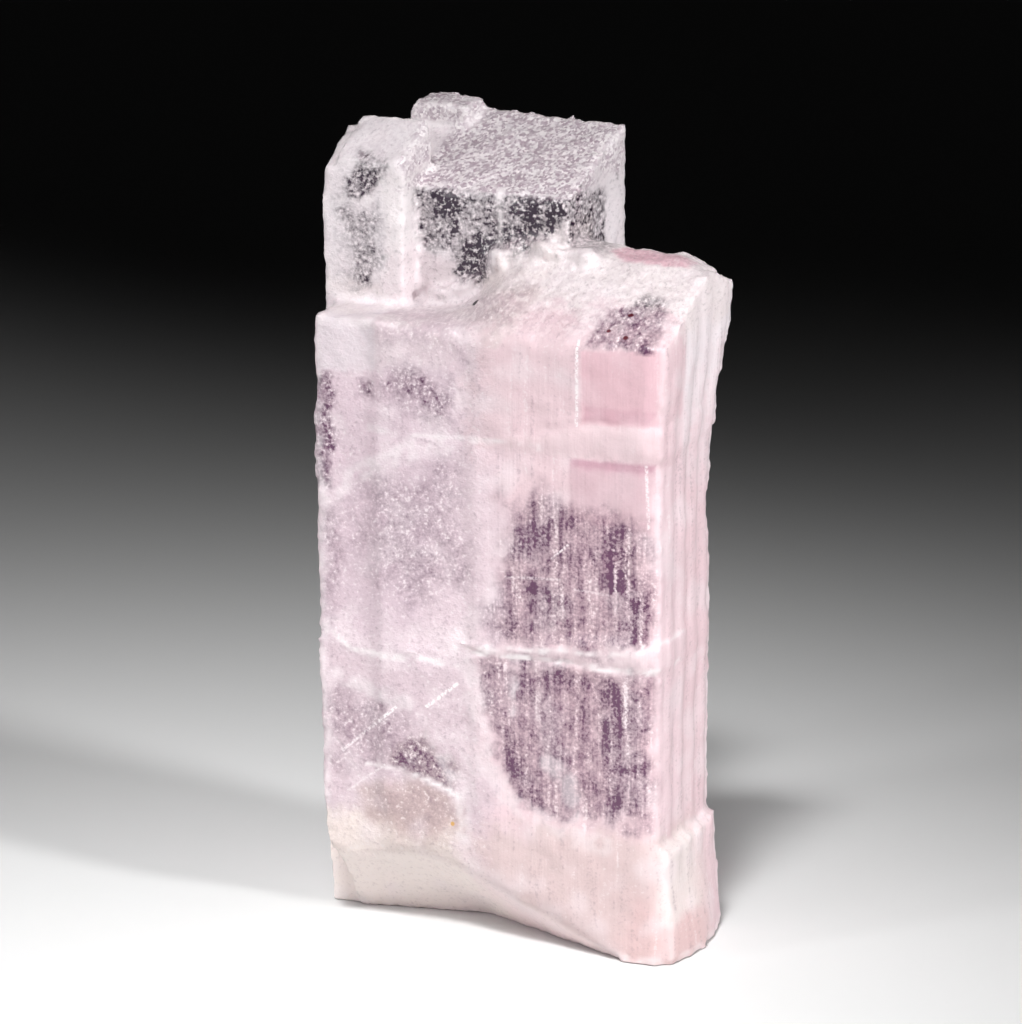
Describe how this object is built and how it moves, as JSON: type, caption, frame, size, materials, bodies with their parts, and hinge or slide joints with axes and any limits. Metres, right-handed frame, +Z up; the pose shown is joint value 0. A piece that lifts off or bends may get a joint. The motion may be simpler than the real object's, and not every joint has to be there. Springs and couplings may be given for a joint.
{
  "type": "schizolite crystal",
  "caption": "Pale lilac-pink translucent cleavage of tabular crystals grown together, with a sloping frosted top and a flat broken base to stand on.",
  "frame": {"origin": "middle of the flat broken base, under the middle of the box around the crystal", "axes": "+Z up along the crystals' long direction, -Y out of the broad front face, +X to the right when looking at that face"},
  "size_m": [0.0152, 0.0098, 0.0295],
  "materials": {
    "crystal": "satin"
  },
  "bodies": {
    "root": {"crystal": "crystal"}
  },
  "joints": []
}
